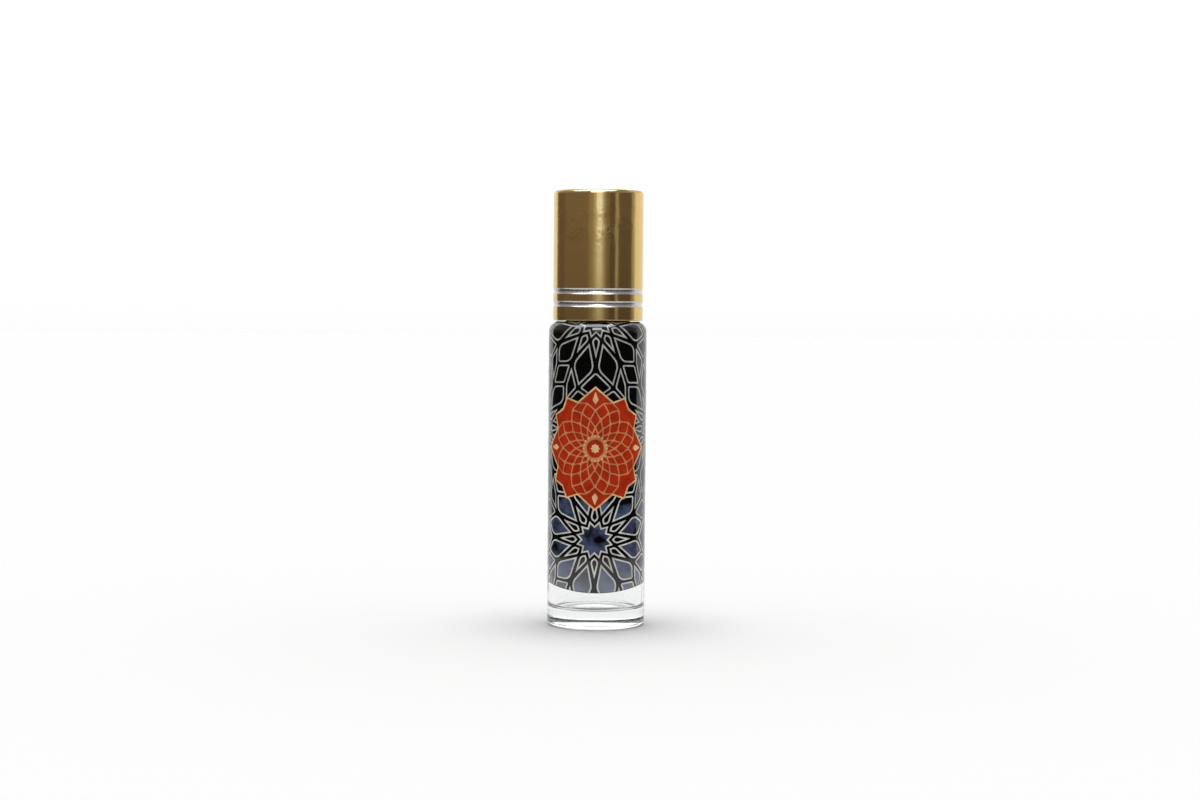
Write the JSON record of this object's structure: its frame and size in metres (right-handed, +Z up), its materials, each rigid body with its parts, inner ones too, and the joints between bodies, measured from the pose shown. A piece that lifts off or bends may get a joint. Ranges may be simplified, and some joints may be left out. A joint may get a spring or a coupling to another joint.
{
  "type": "roll on bottle",
  "caption": "Slim cylindrical glass roll-on perfume bottle in a dark printed film, with a steel ball in a plastic housing under a gold aluminium screw cap.",
  "frame": {"origin": "centre of the base, on the surface that the bottle stands on", "axes": "+Z up along the bottle's axis, -Y the front of the print, +X to the right of the front"},
  "size_m": [0.0202, 0.0202, 0.089],
  "materials": {
    "clear_glass": "clear moulded flint glass",
    "printed_film": "glossy printed film, black to navy with silver strapwork",
    "housing_polyethylene": "natural moulded polyethylene",
    "stainless_steel": "polished stainless steel",
    "cap_polypropylene": "moulded polypropylene",
    "seal_polyethylene": "soft moulded polyethylene",
    "gold_aluminium": "satin gold anodised, with two bright-cut grooves"
  },
  "bodies": {
    "bottle": {"glass_bottle": "clear_glass", "printed_sleeve": "printed_film", "roller_housing": "housing_polyethylene"},
    "roller": {"roller_ball": "stainless_steel"},
    "seal": {"ball_seal": "seal_polyethylene"},
    "cap": {"inner_cap": "cap_polypropylene", "cap_shell": "gold_aluminium"}
  },
  "joints": [
    {"name": "ball_roll", "type": "hinge", "parent": "bottle", "child": "roller", "pos_m": [0, 0, 0.0766], "axis": [1, 0, 0], "continuous": true},
    {"name": "cap_lift", "type": "slide", "parent": "bottle", "child": "seal", "axis": [0, 0, 1], "range_m": [0, 0.024]},
    {"name": "cap_turn", "type": "hinge", "parent": "seal", "child": "cap", "pos_m": [0, 0, 0.0625], "axis": [0, 0, 1], "range_deg": [0, 2880]}
  ],
  "couplings": [
    {"joint": "cap_turn", "follows": "cap_lift", "rad_per_m": 2094.4}
  ]
}
